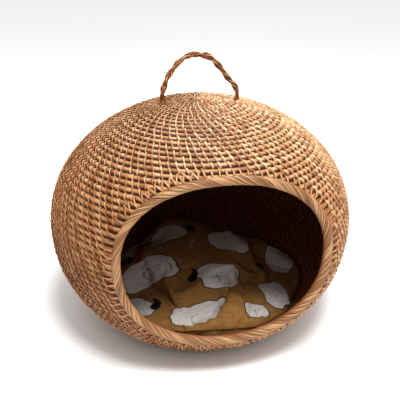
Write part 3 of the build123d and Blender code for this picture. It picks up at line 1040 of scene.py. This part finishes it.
def cane_material():
    """Rows of cane: a tone of its own between each two stitches, with painted shade in the grooves between
    the rows, on each row's downhill half and inside the basket.
    """
    g = Graph("cane_core")
    patch = g.noise(26.0, detail=3.0)
    cell = g.math("FRACT", g.math("MULTIPLY", g.math("FLOOR", g.value("stitch")), 0.6180339))
    mottle = g.math("ADD", g.math("MULTIPLY", g.value("tone"), 0.1), g.math("MULTIPLY", cell, 0.4))
    shade = g.math("ADD", g.math("MULTIPLY", patch, 0.72), mottle)
    colour = g.ramp(shade, CANE_SHADES)
    colour = g.mix(g.span(g.noise(900.0), 0.35, 0.75, 0.0, 0.25), colour, CANE_GRAIN)
    # Painted light over the crown and painted shade down the sides
    colour = shade_and_light_by_height(g, colour)
    # Painted shade: dark brown in the grooves between rows and on the downhill half of each row
    under = g.span(g.value("low"), -0.15, 0.6)
    painted_groove_shade = g.math("MAXIMUM", g.span(g.value("rise"), 0.1, 0.85, 1.0, 0.0), under)
    colour = g.mix(g.math("MULTIPLY", painted_groove_shade, 0.94), colour, GROOVE_PAINTED_SHADE)
    # Painted shade: darker brown on the cane inside the basket
    inside = inside_share(g)
    colour = g.mix(g.math("MULTIPLY", inside, 0.9), colour, INSIDE_CANE_PAINTED_SHADE)
    g.bump(g.noise(500.0), 0.25, 0.0004)
    dry = g.math("SUBTRACT", 0.35, g.math("MULTIPLY", inside, 0.34))
    return g.finish(colour, g.math("ADD", 0.55, g.math("MULTIPLY", inside, 0.4)), dry)


def strip_material(name, shades, rough, dip_share, lit_and_shaded_by_height):
    """Rattan strips: a tone for each strip, with painted shade where it dips under its neighbours and inside
    the basket.
    """
    g = Graph(name)
    fibre = g.noise(420.0, detail=3.0)
    shade = g.math("ADD", g.math("MULTIPLY", g.value("tone"), 0.7), g.math("MULTIPLY", fibre, 0.45))
    colour = g.ramp(shade, shades)
    # Painted shade where the strip dips under its neighbours
    colour = g.mix(g.math("MULTIPLY", g.value("dip"), dip_share), colour, STRIP_EDGE_PAINTED_SHADE)
    # Painted light over the crown and painted shade down the sides
    if lit_and_shaded_by_height:
        colour = shade_and_light_by_height(g, colour)
    # Painted shade inside the basket; the same share also makes the strips duller there
    dull_and_shaded = g.math("MAXIMUM", inside_share(g), g.value("inner"))
    colour = g.mix(g.math("MULTIPLY", dull_and_shaded, 0.94), colour, INSIDE_STRIP_PAINTED_SHADE)
    g.bump(g.noise(700.0), 0.25, 0.0003)
    dry = g.math("SUBTRACT", 0.6, g.math("MULTIPLY", dull_and_shaded, 0.59))
    return g.finish(colour, g.math("ADD", rough, g.math("MULTIPLY", dull_and_shaded, 0.5)), dry)


def rope_material():
    g = Graph("rope")
    shade = g.math("ADD", g.math("MULTIPLY", g.value("tone"), 0.8), g.math("MULTIPLY", g.noise(260.0), 0.35))
    colour = g.ramp(shade, ROPE_SHADES)
    g.bump(g.noise(900.0), 0.3, 0.0003)
    return g.finish(colour, 0.8, 0.15)


def cloth_material():
    """Ochre cloth printed with the rags, their folds, the leaves and the arcs."""
    g = Graph("cushion_cloth")
    ochre = g.ramp(g.noise(30.0), OCHRE_SHADES)
    pale = g.value("pale")
    white = g.ramp(g.noise(60.0), RAG_SHADES)
    colour = g.mix(g.span(pale, -0.5, 0.5, 1.0, 0.0), ochre, white)
    edge = g.span(g.math("ABSOLUTE", pale), 0.5, 1.2, 1.0, 0.0)
    colour = g.mix(g.math("MULTIPLY", edge, 0.9), colour, RAG_OUTLINE)
    within = g.span(pale, -2.5, -1.0, 0.8, 0.0)
    fold = g.math("MULTIPLY", g.span(g.value("fold"), 0.5, 1.2, 1.0, 0.0), within)
    colour = g.mix(fold, colour, RAG_FOLD)
    colour = g.mix(g.span(g.value("dark"), -0.5, 0.5, 1.0, 0.0), colour, LEAF)
    colour = g.mix(g.span(g.value("fine"), -0.3, 0.6, 0.8, 0.0), colour, ARC)
    g.bump(g.noise(1500.0, detail=1.0), 0.2, 0.0003)
    return g.finish(colour, 0.9, 0.1)


def plain(name, colour, rough, specular=0.2):
    return Graph(name).finish((*linear(colour), 1), rough, specular)


# ---------------------------------------------------------------- stage
def lamp(name, where, aim, size, power):
    data = bpy.data.lights.new(name, "AREA")
    data.shape = "DISK"
    data.size = size
    data.energy = power
    made = bpy.data.objects.new(name, data)
    bpy.context.scene.collection.objects.link(made)
    made.location = where
    x, y, z = np.array(aim) - np.array(where)
    made.rotation_euler = (math.atan2(math.hypot(x, y), -z), 0, math.atan2(x, -y) + math.pi)


def studio_world():
    """Dome of light, brighter overhead and towards +X. The backdrop in view is even and pale instead."""
    world = bpy.data.worlds.new("studio")
    world.use_nodes = True
    tree = world.node_tree

    def node(kind, *inputs, **facts):
        made = tree.nodes.new(kind)
        for key, value in facts.items():
            setattr(made, key, value)
        for key, value in inputs:
            if hasattr(value, "is_output"):
                tree.links.new(value, made.inputs[key])
            else:
                made.inputs[key].default_value = value
        return made

    way = node("ShaderNodeTexCoord").outputs["Generated"]
    parts = node("ShaderNodeSeparateXYZ", (0, way))
    level = node("ShaderNodeMapRange", (0, parts.outputs[2]), (3, SKY_LOW), (4, SKY_HIGH))
    side = node("ShaderNodeMath", (0, parts.outputs[0]), (1, SKY_SIDE), (2, 1.0), operation="MULTIPLY_ADD")
    both = node("ShaderNodeMath", (0, level.outputs[0]), (1, side.outputs[0]), operation="MULTIPLY")
    seen = node("ShaderNodeLightPath").outputs["Is Camera Ray"]
    shown = node("ShaderNodeMix", (0, seen), (2, both.outputs[0]), (3, BACKDROP))
    tree.links.new(shown.outputs[0], tree.nodes["Background"].inputs["Strength"])
    tree.nodes["Background"].inputs["Color"].default_value = (1, 1, 1, 1)
    return world


def build_stage():
    """Pale floor, soft studio light and the camera."""
    corners = [(-1, -1), (1, -1), (1, 1), (-1, 1)]
    corners = np.array([[x * FLOOR_HALF, y * FLOOR_HALF, FLOOR_Z] for x, y in corners])
    floor = make_mesh("floor", corners, np.array([[0, 1, 2, 3]]))
    floor.data.materials.append(plain("floor_paint", (250, 250, 250), 0.9))
    bpy.context.scene.world = studio_world()
    lamp("key_above", (0.1, -0.75, 2.1), (0, 0, 0.2), 0.7, 45)
    data = bpy.data.cameras.new("eye")
    data.lens = LENS
    data.sensor_width = 36
    eye = bpy.data.objects.new("eye", data)
    bpy.context.scene.collection.objects.link(eye)
    eye.location = EYE
    eye.rotation_euler = (math.pi / 2 - PITCH_DOWN, 0, HEADING)
    bpy.context.scene.camera = eye
    bpy.context.scene.view_settings.view_transform = "Standard"


def plain_parts():
    """Materials of the CAD pieces that stay in sight."""
    in_sight = {"rim_hoop": "cane_core", "handle_tail_left": "rope", "handle_tail_right": "rope"}
    for node, slot in in_sight.items():
        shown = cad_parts[node]
        shown.data.materials.clear()
        shown.data.materials.append(MATERIALS[f"{slot}_plain"])


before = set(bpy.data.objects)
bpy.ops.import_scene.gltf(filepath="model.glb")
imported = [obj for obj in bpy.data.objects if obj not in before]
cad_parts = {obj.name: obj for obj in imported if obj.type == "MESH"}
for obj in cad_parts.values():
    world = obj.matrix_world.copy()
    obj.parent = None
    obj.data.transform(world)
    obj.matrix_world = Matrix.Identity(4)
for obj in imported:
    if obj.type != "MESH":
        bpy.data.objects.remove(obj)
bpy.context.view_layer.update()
MATERIALS = {
    "cane_core": cane_material(),
    "rattan_strip": strip_material("rattan_strip", STITCH_SHADES, 0.36, 0.3, True),
    "rim_strip": strip_material("rim_strip", RIM_SHADES, 0.4, 0.85, False),
    "rope": rope_material(),
    "cushion_cloth": cloth_material(),
    "thread": plain("thread", (96, 64, 30), 0.85, 0.1),
    "cane_core_plain": plain("cane_core_plain", (130, 78, 42), 0.7),
    "rope_plain": plain("rope_plain", (140, 76, 34), 0.85),
}
build_weave()
build_rim()
build_handle()
build_cushion()
plain_parts()
build_stage()
